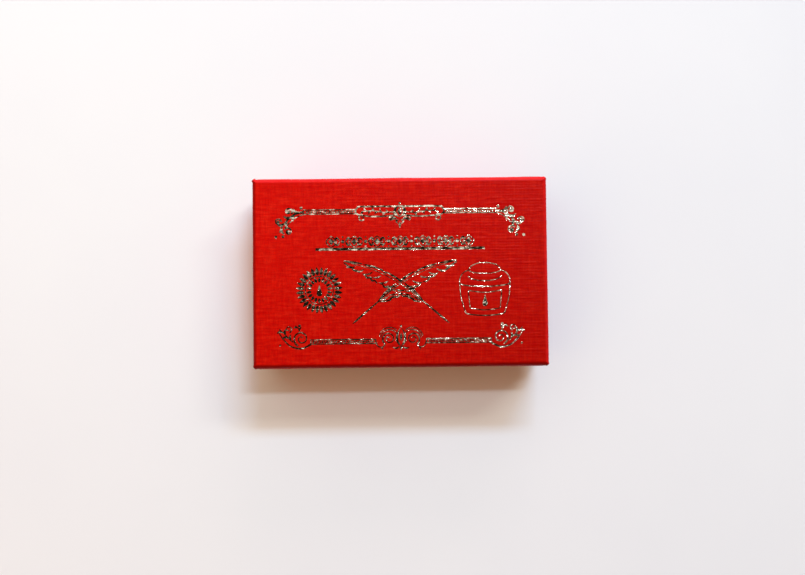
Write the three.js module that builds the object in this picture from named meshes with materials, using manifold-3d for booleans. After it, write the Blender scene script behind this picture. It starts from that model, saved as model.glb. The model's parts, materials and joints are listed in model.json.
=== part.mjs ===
// A small rigid card box with a lift-off lid: two greyboard trays wrapped in cloth-embossed paper,
// foil-stamped on top, holding a deck of cards for ink samples.
//
// Frame: millimetres, +Z up, +X along the box, -Y towards the front edge, origin on the surface
// that the box stands on, under its centre.

import * as THREE from 'three';
import { mergeVertices } from 'three/addons/utils/BufferGeometryUtils.js';
import Module from 'manifold-3d';

const wasm = await Module();
wasm.setup();

// ---------------------------------------------------------------- driving dimensions

const CARD_LENGTH = 91;
const CARD_WIDTH = 55;
const CARD_THICKNESS = 0.53;
const CARD_PITCH = 0.55;
const CARD_COUNT = 36;
const CARD_CORNER = 2;
const CARD_PLAY = 0.85;

const PAPER = 0.18;
const LINER = 0.15;
const BOARD = 1.2;
const GLUE = 0.08;
const STAY = 0.1;
const STAY_PLAY = 0.03;
const STAY_LEG = 9;

const BOX_HEIGHT = 28;
const LID_DEPTH = 21;
const LID_PLAY = 0.35;
const RIM_PLAY = 0.06;
const CARD_REST_PLAY = 0.03;

const EDGE_RADIUS = 1.5;
const RIM_RADIUS = 0.3;
const CORNER_RADIUS = 1;
const SHARPEST_CORNER = 0.12;
const TURN_IN = 13;
const TURN_IN_PLAY = 0.3;

const FOIL = 0.04;
const STROKE = 0.7;
const HAIRLINE = 0.45;
const VANE_WIDTH = 4.6;

const CORNER_STEPS = 4;
const EDGE_STEPS = 4;
const RIM_STEPS = 2;

// ---------------------------------------------------------------- sizes worked out from them

const OUTER_GAP = STAY + 2 * STAY_PLAY;
const BOARD_INSET = PAPER + OUTER_GAP;
const WALL = BOARD_INSET + BOARD + GLUE + PAPER;
const BOARD_DEPTH = PAPER + GLUE;
const LINER_DEPTH = BOARD_DEPTH + BOARD + GLUE;
const FLOOR = LINER_DEPTH + LINER;

const BASE = {
  halfX: CARD_LENGTH / 2 + CARD_PLAY + WALL,
  halfY: CARD_WIDTH / 2 + CARD_PLAY + WALL,
  depth: BOX_HEIGHT - FLOOR - RIM_PLAY,
};
const LID = {
  halfX: BASE.halfX + LID_PLAY + WALL,
  halfY: BASE.halfY + LID_PLAY + WALL,
  depth: LID_DEPTH,
};

// ---------------------------------------------------------------- materials

const COLOURS = {
  wrap: { color: 0xbe1210, roughness: 0.55, metalness: 0 },
  board: { color: 0x8f8a80, roughness: 0.9, metalness: 0 },
  liner: { color: 0xf1eee6, roughness: 0.8, metalness: 0 },
  stay: { color: 0xb99464, roughness: 0.8, metalness: 0 },
  foil: { color: 0xdcd8ce, roughness: 0.3, metalness: 1 },
  card: { color: 0xf6f3ea, roughness: 0.85, metalness: 0 },
};

function part(name, geometry, look) {
  const mesh = new THREE.Mesh(geometry, new THREE.MeshStandardMaterial(COLOURS[look]));
  mesh.name = name;
  return mesh;
}

// ---------------------------------------------------------------- lofted trays

// The points of one rounded rectangle at a height, anticlockwise from above.
function ring(halfX, halfY, inset, height) {
  const radius = Math.max(CORNER_RADIUS - inset, SHARPEST_CORNER);
  const points = [];
  for (let corner = 0; corner < 4; corner += 1) {
    const turn = (corner * Math.PI) / 2;
    const signX = corner === 0 || corner === 3 ? 1 : -1;
    const signY = corner < 2 ? 1 : -1;
    for (let step = 0; step <= CORNER_STEPS; step += 1) {
      const angle = turn + (step / CORNER_STEPS) * (Math.PI / 2);
      const x = signX * (halfX - inset - radius) + radius * Math.cos(angle);
      const y = signY * (halfY - inset - radius) + radius * Math.sin(angle);
      points.push(new THREE.Vector3(x, y, height));
    }
  }
  return points;
}

// A quarter round in a wall's section, from one angle to another about a centre.
function quarter(inset, depth, radius, from, to, steps) {
  const points = [];
  for (let step = 0; step <= steps; step += 1) {
    const angle = from + (step / steps) * (to - from);
    points.push([inset - radius * Math.cos(angle), depth - radius * Math.sin(angle)]);
  }
  return points;
}

// The rounded edge between a tray's closed face and its wall, walked outwards.
function roundedEdge(inset, depth) {
  const radius = EDGE_RADIUS - inset;
  return quarter(EDGE_RADIUS, depth + radius, radius, Math.PI / 2, 0, EDGE_STEPS);
}

// Joins the rings that a section makes into one closed body, capped at both ends.
// A section is a list of [inset from the outer wall, depth from the closed face].
function tray(size, section, heightOf) {
  const rings = section.map(([inset, depth]) => ring(size.halfX, size.halfY, inset, heightOf(depth)));
  const count = rings[0].length;
  const positions = rings.flat().flatMap((point) => [point.x, point.y, point.z]);
  const faces = [];
  for (let level = 0; level + 1 < rings.length; level += 1) {
    for (let side = 0; side < count; side += 1) {
      const a = level * count + side;
      const b = level * count + ((side + 1) % count);
      faces.push([a, a + count, b], [b, a + count, b + count]);
    }
  }
  const last = (rings.length - 1) * count;
  for (let side = 1; side + 1 < count; side += 1) {
    faces.push([0, side, side + 1], [last, last + side + 1, last + side]);
  }
  const climbs = heightOf(1) > heightOf(0);
  const indices = faces.flatMap(([a, b, c]) => (climbs ? [a, c, b] : [a, b, c]));
  const geometry = new THREE.BufferGeometry();
  geometry.setAttribute('position', new THREE.Float32BufferAttribute(positions, 3));
  geometry.setIndex(indices);
  return geometry;
}

// The wrap: over the closed face, down the wall, round the rim and up the inside, one paper thick.
function wrapSection(depth) {
  const half = Math.PI / 2;
  const rimInner = WALL - RIM_RADIUS;
  const end = depth - TURN_IN;
  return [
    ...roundedEdge(0, 0),
    ...quarter(RIM_RADIUS, depth - RIM_RADIUS, RIM_RADIUS, 0, -half, RIM_STEPS),
    ...quarter(rimInner, depth - RIM_RADIUS, RIM_RADIUS, -half, -2 * half, RIM_STEPS),
    [WALL, end],
    [WALL - PAPER, end],
    [WALL - PAPER, depth - PAPER],
    [PAPER, depth - PAPER],
    ...roundedEdge(PAPER, PAPER).reverse(),
  ];
}

function boardSection(depth) {
  const rim = depth - PAPER - GLUE;
  const inside = BOARD_INSET + BOARD;
  return [
    ...roundedEdge(BOARD_INSET, BOARD_DEPTH),
    [BOARD_INSET, rim],
    [inside, rim],
    [inside, BOARD_DEPTH + BOARD],
  ];
}

// The liner: a shallow paper tray whose walls stop where the wrap's turned-in edge begins.
function linerSection(depth) {
  const outside = BOARD_INSET + BOARD + GLUE;
  const rim = depth - TURN_IN - TURN_IN_PLAY;
  return [
    [outside, LINER_DEPTH],
    [outside, rim],
    [outside + LINER, rim],
    [outside + LINER, FLOOR],
  ];
}

// ---------------------------------------------------------------- corner stays

// A strip of stay tape bent round one vertical corner of a board tray.
function stayGeometry(height) {
  const bend = CORNER_RADIUS - BOARD_INSET;
  const inner = bend + STAY_PLAY;
  const outer = inner + STAY;
  const leg = STAY_LEG - bend;
  const shape = new THREE.Shape();
  shape.moveTo(-leg, inner);
  shape.lineTo(0, inner);
  shape.absarc(0, 0, inner, Math.PI / 2, 0, true);
  shape.lineTo(inner, -leg);
  shape.lineTo(outer, -leg);
  shape.lineTo(outer, 0);
  shape.absarc(0, 0, outer, 0, Math.PI / 2, false);
  shape.lineTo(-leg, outer);
  const options = { depth: height, bevelEnabled: false, curveSegments: CORNER_STEPS };
  return new THREE.ExtrudeGeometry(shape, options);
}

function stays(prefix, size, heightOf) {
  const top = heightOf(EDGE_RADIUS + GLUE);
  const rim = heightOf(size.depth - PAPER - 2 * GLUE);
  const names = ['back_right', 'back_left', 'front_left', 'front_right'];
  return names.map((name, index) => {
    const stay = part(`${prefix}_corner_stay_${name}`, stayGeometry(Math.abs(top - rim)), 'stay');
    const signX = index === 0 || index === 3 ? 1 : -1;
    const signY = index < 2 ? 1 : -1;
    const x = signX * (size.halfX - CORNER_RADIUS);
    const y = signY * (size.halfY - CORNER_RADIUS);
    stay.position.set(x, y, Math.min(top, rim));
    stay.rotation.z = (index * Math.PI) / 2;
    return stay;
  });
}

// ---------------------------------------------------------------- foil shapes

function solidOf(shape) {
  const geometry = new THREE.ExtrudeGeometry(shape, { depth: FOIL, bevelEnabled: false });
  geometry.deleteAttribute('normal');
  geometry.deleteAttribute('uv');
  const merged = mergeVertices(geometry, 1e-5);
  const mesh = new wasm.Mesh({
    numProp: 3,
    vertProperties: merged.attributes.position.array,
    triVerts: new Uint32Array(merged.index.array),
  });
  return new wasm.Manifold(mesh);
}

// Joins overlapping flat shapes into one stamped piece.
function stamp(shapes) {
  const joined = shapes.map(solidOf).reduce((whole, next) => whole.add(next));
  const mesh = joined.getMesh();
  const geometry = new THREE.BufferGeometry();
  geometry.setAttribute('position', new THREE.Float32BufferAttribute(mesh.vertProperties, 3));
  geometry.setIndex([...mesh.triVerts]);
  return geometry;
}

function outline(points) {
  return new THREE.Shape(points.map(([x, y]) => new THREE.Vector2(x, y)));
}

// A stroke of foil along a smooth curve; its width follows widthAt from 0 to 1 along the curve.
function ribbon(points, widthAt, steps = 10) {
  const curve = new THREE.SplineCurve(points.map(([x, y]) => new THREE.Vector2(x, y)));
  const left = [];
  const right = [];
  for (let step = 0; step <= steps; step += 1) {
    const t = step / steps;
    const point = curve.getPoint(t);
    const along = curve.getTangent(t);
    const half = widthAt(t) / 2;
    left.push([point.x - along.y * half, point.y + along.x * half]);
    right.push([point.x + along.y * half, point.y - along.x * half]);
  }
  return outline([...right, ...left.reverse()]);
}

function line(x0, y0, x1, y1, width) {
  return ribbon([[x0, y0], [x1, y1]], () => width, 1);
}

function arc(x, y, radius, from, to) {
  const points = [];
  for (let step = 0; step <= 8; step += 1) {
    const angle = from + (step / 8) * (to - from);
    points.push([x + radius * Math.cos(angle), y + radius * Math.sin(angle)]);
  }
  return points;
}

function loop(x, y, outer, inner, steps = 16) {
  const shape = outline(arcLoop(x, y, outer, steps));
  shape.holes.push(outline(arcLoop(x, y, inner, steps)));
  return shape;
}

function arcLoop(x, y, radius, steps) {
  const points = [];
  for (let step = 0; step < steps; step += 1) {
    const angle = (step / steps) * 2 * Math.PI;
    points.push([x + radius * Math.cos(angle), y + radius * Math.sin(angle)]);
  }
  return points;
}

function lozenge(x, y, halfX, halfY) {
  return outline([[x + halfX, y], [x, y + halfY], [x - halfX, y], [x, y - halfY]]);
}

function frame(x0, y0, x1, y1, width) {
  const shape = outline([[x0, y0], [x1, y0], [x1, y1], [x0, y1]]);
  const [ix0, iy0, ix1, iy1] = [x0 + width, y0 + width, x1 - width, y1 - width];
  shape.holes.push(outline([[ix0, iy0], [ix0, iy1], [ix1, iy1], [ix1, iy0]]));
  return shape;
}

function mirrored(draw) {
  return [...draw(1), ...draw(-1)];
}

// A leafy scroll that turns away from a bar's end towards the middle of the lid's short side.
function endScroll(side, startX, startY, endX, endY) {
  const midX = startX + 0.7 * (endX - startX);
  const midY = startY + 0.3 * (endY - startY);
  const curlY = startY + 0.75 * (endY - startY);
  const lift = Math.sign(startY - endY);
  const stem = [[startX, startY], [midX, midY], [endX, curlY], [endX - 2, endY]];
  const leaf = [[startX, startY], [startX + 4.5, startY + lift], [startX + 8, startY - lift]];
  const curl = [[midX - 0.5, midY], [midX - 2.5, curlY + 0.5], [midX - 0.5, curlY]];
  const flip = (points) => points.map(([x, y]) => [side * x, y]);
  return [
    ribbon(flip(stem), (t) => 1.8 - t),
    ribbon(flip(leaf), (t) => 1.4 - t, 6),
    ribbon(flip(curl), (t) => 1.2 - 0.6 * t, 6),
  ];
}

// ---------------------------------------------------------------- foil motifs on the lid

function backBorder() {
  const barY = 21.2;
  const barEnd = 33;
  const cartouche = 15;
  return [
    loop(0, barY, 3.2, 2.3),
    lozenge(0, barY, 1.4, 1.9),
    line(-3, barY, 3, barY, HAIRLINE),
    lozenge(0, 16.8, 0.9, 1.5),
    ...mirrored((side) => [
      line(side * (cartouche - 1), barY, side * barEnd, barY, 2),
      ribbon([[side * 2.4, barY + 1], [side * 8, barY + 2], [side * cartouche, barY]], () => STROKE),
      ribbon([[side * 2.4, barY - 1], [side * 8, barY - 2.4], [side * cartouche, barY]], () => STROKE),
      ...endScroll(side, barEnd - 0.5, barY, 42.4, 12.6),
    ]),
  ];
}

function frontBorder() {
  const barY = -23;
  const barEnd = 31.3;
  return [
    loop(0, -21.8, 3.6, 2.8),
    lozenge(0, -21.8, 1.7, 3.4),
    ...mirrored((side) => [
      line(side * 5, barY, side * barEnd, barY, 1.9),
      ribbon([[side * 2.8, -20.2], [side * 5.6, -19], [side * 7.8, barY]], (t) => 1.3 - 0.5 * t),
      ribbon([[side * 2.6, -23.6], [side * 4.4, -25.2], [side * 6.8, barY]], () => STROKE, 6),
      ...endScroll(side, barEnd - 0.5, barY, 42.6, -16.8),
    ]),
  ];
}

// A row of lozenges and dots on a hairline, between two end leaves.
function ornamentRow() {
  const rowY = 11;
  const pitch = 5;
  const reach = 4;
  const shapes = [line(-25, rowY, 25, rowY, HAIRLINE)];
  for (let index = -reach; index <= reach; index += 1) {
    const tall = index % 2 === 0 ? 2 : 1.2;
    shapes.push(lozenge(index * pitch, rowY, tall, tall));
  }
  return shapes;
}

function rule() {
  const ruleY = 8.4;
  return [
    outline([[-28, ruleY], [-26, ruleY - 0.45], [26, ruleY - 0.45], [28, ruleY], [26, ruleY + 0.45],
      [-26, ruleY + 0.45]]),
  ];
}

// One quill: a bowed shaft from the feather's tip to the cut nib, with a vane on its upper part.
function quill(side) {
  const tip = [-19 * side, 5];
  const nib = [16.2 * side, -17];
  const bow = [-4 * side, -0.4];
  const shaft = new THREE.SplineCurve([tip, bow, nib].map(([x, y]) => new THREE.Vector2(x, y)));
  const points = shaft.getPoints(8).map((point) => [point.x, point.y]);
  const vane = points.slice(0, 6);
  return [
    ribbon(points, (t) => STROKE * (1.2 - 0.5 * t), 12),
    ribbon(vane, (t) => HAIRLINE + VANE_WIDTH * Math.sin(Math.PI * t ** 0.7), 12),
  ];
}

function quills() {
  return [...quill(1), ...quill(-1)];
}

// The outline of a squat ink bottle with a screw cap and a blank label.
function inkBottle() {
  const x = 28.7;
  const bottom = -14.5;
  const shoulder = -4;
  const neck = -0.4;
  const capTop = 3.6;
  const half = 8.5;
  const neckHalf = 4.2;
  const capHalf = 5;
  const labelTop = -5.9;
  return [
    line(x - half + 1, bottom, x + half - 1, bottom, STROKE),
    line(x - neckHalf - 0.3, neck, x + neckHalf + 0.3, neck, STROKE),
    frame(x - capHalf, neck + 0.3, x + capHalf, capTop, STROKE),
    frame(x - 5.8, -12.2, x + 5.9, labelTop, HAIRLINE),
    line(x - half, labelTop, x + half, labelTop, HAIRLINE),
    lozenge(x, -9.1, 1.6, 2.2),
    line(x, -9.1, x, -12, HAIRLINE),
    line(x, neck, x, capTop - 0.2, HAIRLINE),
    ...mirrored((side) => [
      line(x + side * half, bottom + 1, x + side * half, shoulder, STROKE),
      ribbon([[x + side * (half - 1.4), bottom], [x + side * half, bottom + 1.4]], () => STROKE, 2),
      ribbon([[x + side * half, shoulder - 0.2], [x + side * 7.4, -1.4], [x + side * neckHalf, neck]],
        () => STROKE, 6),
    ]),
  ];
}

// A round badge: a ring with eight short rays around an ink drop.
function emblem() {
  const x = -27.6;
  const y = -5.5;
  const radius = 7.9;
  const drop = [[x, y + 4.6], ...arc(x, y - 1.2, 2.9, Math.PI * 0.84, Math.PI * 2.16)];
  const shapes = [loop(x, y, radius, radius - STROKE, 32), outline(drop)];
  for (let index = 0; index < 8; index += 1) {
    const angle = (index + 0.5) * (Math.PI / 4);
    const [dx, dy] = [Math.cos(angle), Math.sin(angle)];
    const from = 2.2;
    shapes.push(line(x + dx * from, y - 1 + dy * from, x + dx * 7.5, y + dy * 7.5, HAIRLINE));
  }
  return shapes;
}

const MOTIFS = {
  foil_border_back: backBorder,
  foil_border_front: frontBorder,
  foil_ornament_row: ornamentRow,
  foil_rule: rule,
  foil_quills: quills,
  foil_ink_bottle: inkBottle,
  foil_emblem: emblem,
};

// ---------------------------------------------------------------- the box

function trayParts(prefix, size, heightOf) {
  return [
    part(`${prefix}_wrap`, tray(size, wrapSection(size.depth), heightOf), 'wrap'),
    part(`${prefix}_board`, tray(size, boardSection(size.depth), heightOf), 'board'),
    part(`${prefix}_lining`, tray(size, linerSection(size.depth), heightOf), 'liner'),
    ...stays(prefix, size, heightOf),
  ];
}

function cardShape() {
  const shape = new THREE.Shape();
  const [x, y] = [CARD_LENGTH / 2 - CARD_CORNER, CARD_WIDTH / 2 - CARD_CORNER];
  const quarterTurn = Math.PI / 2;
  shape.absarc(x, y, CARD_CORNER, 0, quarterTurn, false);
  shape.absarc(-x, y, CARD_CORNER, quarterTurn, 2 * quarterTurn, false);
  shape.absarc(-x, -y, CARD_CORNER, 2 * quarterTurn, 3 * quarterTurn, false);
  shape.absarc(x, -y, CARD_CORNER, 3 * quarterTurn, 4 * quarterTurn, false);
  return shape;
}

// The deck, card 01 on the tray's floor and the last one on top.
function cards() {
  const options = { depth: CARD_THICKNESS, bevelEnabled: false, curveSegments: 3 };
  const geometry = new THREE.ExtrudeGeometry(cardShape(), options);
  const deck = [];
  for (let index = 0; index < CARD_COUNT; index += 1) {
    const card = part(`card_${String(index + 1).padStart(2, '0')}`, geometry, 'card');
    card.position.z = FLOOR + CARD_REST_PLAY + index * CARD_PITCH;
    deck.push(card);
  }
  return deck;
}

const base = new THREE.Group();
base.add(...trayParts('base', BASE, (depth) => depth));

const lid = new THREE.Group();
lid.add(...trayParts('lid', LID, (depth) => BOX_HEIGHT - depth));
for (const [name, motif] of Object.entries(MOTIFS)) {
  const foil = part(name, stamp(motif()), 'foil');
  foil.position.z = BOX_HEIGHT;
  lid.add(foil);
}

const deck = new THREE.Group();
deck.add(...cards());

const box = new THREE.Group();
box.add(base, lid, deck);

export default box;
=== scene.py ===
"""The looks of the ink sample card box.

It has a red cloth-embossed lid with foil stamping, a base, and cards. Everything is in metres in the
part's own frame. The foil and the print are drawn in millimetres and pass through MM.
"""
import json
import math

import bpy
import numpy as np
from mathutils import Euler, Matrix, Vector


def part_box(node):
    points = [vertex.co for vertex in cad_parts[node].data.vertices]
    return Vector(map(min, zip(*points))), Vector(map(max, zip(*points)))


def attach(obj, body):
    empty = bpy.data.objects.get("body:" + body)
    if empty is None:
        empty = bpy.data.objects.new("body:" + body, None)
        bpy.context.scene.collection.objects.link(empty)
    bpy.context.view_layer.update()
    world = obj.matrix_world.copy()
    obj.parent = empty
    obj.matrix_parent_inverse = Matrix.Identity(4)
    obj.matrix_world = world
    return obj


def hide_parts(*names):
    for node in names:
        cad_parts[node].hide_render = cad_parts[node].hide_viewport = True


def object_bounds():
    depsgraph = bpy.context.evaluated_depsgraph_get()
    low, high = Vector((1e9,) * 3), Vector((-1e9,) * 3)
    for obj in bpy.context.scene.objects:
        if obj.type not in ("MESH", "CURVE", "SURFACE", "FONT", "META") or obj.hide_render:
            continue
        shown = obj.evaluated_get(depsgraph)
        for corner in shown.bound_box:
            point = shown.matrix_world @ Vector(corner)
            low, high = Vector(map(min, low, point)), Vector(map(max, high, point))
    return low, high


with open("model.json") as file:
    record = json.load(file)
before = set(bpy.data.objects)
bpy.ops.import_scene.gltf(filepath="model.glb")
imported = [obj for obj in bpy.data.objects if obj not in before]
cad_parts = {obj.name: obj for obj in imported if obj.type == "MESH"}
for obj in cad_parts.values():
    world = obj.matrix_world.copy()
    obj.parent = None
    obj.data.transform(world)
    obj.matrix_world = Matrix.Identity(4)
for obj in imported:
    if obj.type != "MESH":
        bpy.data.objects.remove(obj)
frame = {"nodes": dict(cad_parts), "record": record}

CAD_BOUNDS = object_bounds()
MM = 0.001
TAU = 2 * math.pi

# ------------------------------------------------------------------ sizes

LID_LOW, LID_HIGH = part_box("lid_wrap")
BASE_LOW, BASE_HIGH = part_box("base_wrap")
PAPER = 0.18 * MM
WALL = LID_HIGH.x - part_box("lid_lining")[1].x + PAPER
EDGE_RADIUS = 1.5 * MM        # of the top and bottom edges
TOP_X = LID_HIGH.x - EDGE_RADIUS      # half the lid's flat top
TOP_Y = LID_HIGH.y - EDGE_RADIUS
CORNER_RADIUS = 1.0 * MM      # of the upright corners
SHARPEST_CORNER = 0.12 * MM
RIM_RADIUS = 0.3 * MM
TURN_IN = 13 * MM             # how far the covering paper is turned in at the rim

THREAD = 0.93 * MM            # distance between the embossed threads
RELIEF = 0.12 * MM            # height of the cloth emboss
WEAVE_MEAN = 0.28             # the share of that height at which the cloth lies on average
FINE_THREAD = 0.31 * MM       # distance between the finer threads, which only the materials show
STEP_TOP = THREAD / 3         # the skin's step on its flat face
STEP_WALL = 0.45 * MM
STEP_TURN_IN = 1.2 * MM
RIM_EMBOSS = 0.6              # the share of the emboss left on the rim and the turn-in
PILLOW_FADE = 2 * MM          # over which the lid top's waviness ends at the edges
WALL_BOW = 0.1 * MM           # the waviness of the walls
ARC_STEPS = 6
EDGE_STEPS = 6
RIM_STEPS = 3

LID_BULGE = 0.16 * MM         # how far the long walls of the lid stand out
LID_EARS = (0.12 * MM, 0.4 * MM, 0.18 * MM, 0.22 * MM)     # and its four corners
BASE_EARS = (0.1 * MM, 0.15 * MM, 0.1 * MM, 0.12 * MM)
EAR_DEPTH = 2.4 * MM          # where a corner is fullest
EAR_SPREAD = 2.6 * MM
FLAP_THICK = 0.11 * MM        # how far the outer fold stands out on the long walls
FLAP_END = 0.9 * MM           # how far it stops short of the corner
TAB_THICK = 0.08 * MM         # how much further it stands out where it covers a tab
TAB_LENGTH = 12.5 * MM
TAB_FADE = 0.8 * MM
FOLD_FADE = 1.5 * MM          # over which the folds appear below the top edge

FOIL_STEP = 0.25              # mm between the points of a foil stroke
FOIL_SHIFT = (0, -0.45)       # mm, of the whole stamp on the lid
FOIL_SINK = 0.03 * MM         # how far the stamp presses the paper down
FOIL_RISE = 0.02 * MM         # the foil's face above the pressed paper
FOIL_THICK = 0.03 * MM
FOIL_RAGGED = 0.12            # how much a stroke's width wanders, as a share of it
STAMPED_AREA = (55, 37)       # mm, half the area in which presses are looked up
PRESS_CELL = 0.1              # mm, the step at which they are
PRESS_MARGIN = 0.38           # mm, how far round a stroke the paper is pressed
PRESS_SOFT = 0.25             # mm, over which the press ends
PRESS_FLATTENS = 0.55         # the share of the emboss that the stamp takes away under the foil
FOIL_FOLLOWS = 0.47           # the share of the emboss that shows through the foil

CARD_CORNER = 2 * MM
CARD_SOFT = 0.09 * MM         # how far a card's edges are softened
CARD_ASIDE = 0.14 * MM        # how far a card usually lies off its place
CARD_ASIDE_MOST = 0.3 * MM
CARD_TURN = 0.002             # and how far it is usually turned, in radians
CARD_TURN_MOST = 0.004
INK_THICK = 0.012 * MM


# ------------------------------------------------------------------ noise and relief

def value_noise(u, v, cell_u, cell_v, seed):
    """Smooth noise from -1 to 1, with lattice cells of the given sizes."""
    size = 256        # the lattice repeats after this many cells
    grid = np.random.default_rng(seed).uniform(-1, 1, (size, size))
    i, j = np.floor(u / cell_u).astype(int), np.floor(v / cell_v).astype(int)
    a, b = u / cell_u - i, v / cell_v - j
    a, b = a * a * (3 - 2 * a), b * b * (3 - 2 * b)
    i, j, i1, j1 = i % size, j % size, (i + 1) % size, (j + 1) % size
    near = grid[i, j] * (1 - a) + grid[i1, j] * a
    far = grid[i, j1] * (1 - a) + grid[i1, j1] * a
    return near * (1 - b) + far * b


def threads(along, across, seed):
    """One family of embossed threads: wandering, uneven, and thick in places."""
    wander = 0.22 * value_noise(along, across, 15 * MM, 2.4 * MM, seed)
    ridge = 0.5 + 0.5 * np.cos(TAU * (across / THREAD + wander))
    strength = 0.55 + 0.45 * value_noise(along, across, 5.5 * MM, THREAD, seed + 1)
    return ridge * strength


def linen(u, v):
    """Height of the cloth emboss at a point of the flat sheet, about its mean.

    The threads along v show more on the left.
    """
    warp_share = 0.38 - 0.14 * np.clip(u / (50 * MM), -1, 1)
    weave = (1 - warp_share) * threads(u, v, 11) + warp_share * threads(v, u, 23)
    return RELIEF * (weave - WEAVE_MEAN)


def pillow(x, y):
    """The slow waviness of the glued lid top."""
    return 0.05 * MM * value_noise(x, y, 38 * MM, 31 * MM, 5)


# ------------------------------------------------------------------ foil strokes, in millimetres

def spline(knots):
    """Points about FOIL_STEP apart on a smooth curve through the knots."""
    knots = np.array(knots, float)
    if len(knots) == 2:
        count = max(2, int(np.hypot(*(knots[1] - knots[0])) / FOIL_STEP) + 1)
        return knots[0] + np.linspace(0, 1, count)[:, None] * (knots[1] - knots[0])
    padded = np.vstack([2 * knots[0] - knots[1], knots, 2 * knots[-1] - knots[-2]])
    pieces = []
    for p0, p1, p2, p3 in zip(padded, padded[1:], padded[2:], padded[3:]):
        count = max(2, int(np.hypot(*(p2 - p1)) / FOIL_STEP) + 1)
        t = np.linspace(0, 1, count, endpoint=False)[:, None]
        pieces.append(0.5 * (2 * p1 + (p2 - p0) * t + (2 * p0 - 5 * p1 + 4 * p2 - p3) * t ** 2
                             + (3 * p1 - p0 - 3 * p2 + p3) * t ** 3))
    return np.vstack(pieces + [knots[-1:]])


def stroke(knots, width):
    """A foil stroke: its centre points and half widths.

    width is in mm, or a function of the share of the way along it.
    """
    points = spline(knots)
    t = np.linspace(0, 1, len(points))
    half = (width(t) if callable(width) else np.full(len(t), width)) / 2
    return points, half


def arc_knots(x, y, rx, ry, start, end, count=12):
    """Knots on an ellipse's arc; the angles are in turns."""
    angles = np.linspace(start, end, count) * TAU
    return np.column_stack([x + rx * np.cos(angles), y + ry * np.sin(angles)])


def spiral_knots(x, y, outer, inner, start, turns):
    """Knots on a spiral that winds inwards, from start; both angles are in turns."""
    t = np.linspace(0, 1, max(8, int(12 * abs(turns))))
    angles, radii = (start + turns * t) * TAU, outer + (inner - outer) * t
    return np.column_stack([x + radii * np.cos(angles), y + radii * np.sin(angles)])


def thinning(start, end):
    """A width that changes evenly along a stroke."""
    return lambda t: start + (end - start) * t


def leaf_width(width):
    """A width that swells in the middle of a stroke, as a leaf does."""
    return lambda t: 0.12 + width * np.sin(math.pi * t ** 0.75) ** 0.9


def lozenge(x, y, half_x, half_y):
    def across(t):
        return 2 * half_x * (1 - np.abs(2 * t - 1)) + 0.08
    return stroke([(x, y - half_y), (x, y + half_y)], across)


def dot(x, y, radius):
    def across(t):
        return 2 * radius * np.sqrt(np.clip(1 - (2 * t - 1) ** 2, 0.03, 1))
    return stroke([(x - radius, y), (x, y), (x + radius, y)], across)


def ring(x, y, radius, width):
    return stroke(arc_knots(x, y, radius, radius, 0, 1, 28), width)


def drop(x, y, height, width):
    """A solid ink drop that stands on its round end."""
    def across(t):
        return 0.06 + 1.35 * width * t ** 1.1 * np.sqrt(np.clip(1 - t ** 4, 0, 1))
    return stroke([(x, y + height / 2), (x, y), (x, y - height / 2)], across)


def both_sides(draw):
    """What draw makes, and its mirror image across the lid's middle."""
    drawn = draw()
    return drawn + [(points * (-1, 1), half) for points, half in drawn]


def rail(start, end, y):
    """A border rail: two fine lines with a chain of beads and leaves between them."""
    lines = [stroke([(start, y + dy), (end, y + dy)], 0.42) for dy in (0.7, -0.7)]
    xs = np.arange(start + 1, end - 0.6, 1.55)
    beads = [lozenge(x, y, 0.5, 0.42) for x in xs]
    beads += [stroke([(x + 0.45, y - 0.45), (x + 1.1, y + 0.45)], leaf_width(0.3)) for x in xs[:-1]]
    caps = [stroke([(x, y - 0.9), (x, y + 0.9)], 0.4) for x in (start, end)]
    return lines + beads + caps


def sprig(knots, width, leaf, spacing):
    """A stem with leaves on alternate sides, the first after about a seventh of its length."""
    points, half = stroke(knots, thinning(width, 0.3))
    drawn = [(points, half)]
    travelled = np.cumsum(np.hypot(*np.diff(points, axis=0).T))
    at, side = 0.15 * travelled[-1], 1
    while at < travelled[-1] - 0.3 * spacing:
        index = int(np.searchsorted(travelled, at))
        ahead = points[min(index + 1, len(points) - 1)] - points[index]
        along = ahead / max(np.hypot(*ahead), 1e-9)
        out = np.array([-along[1], along[0]]) * side
        root = points[index]
        tip = root + (0.75 * along + 0.9 * out) * leaf
        bend = root + (0.55 * along + 0.3 * out) * leaf
        drawn.append(stroke([root, bend, tip], leaf_width(0.38 * leaf)))
        at, side = at + spacing, -side
    return drawn


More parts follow.
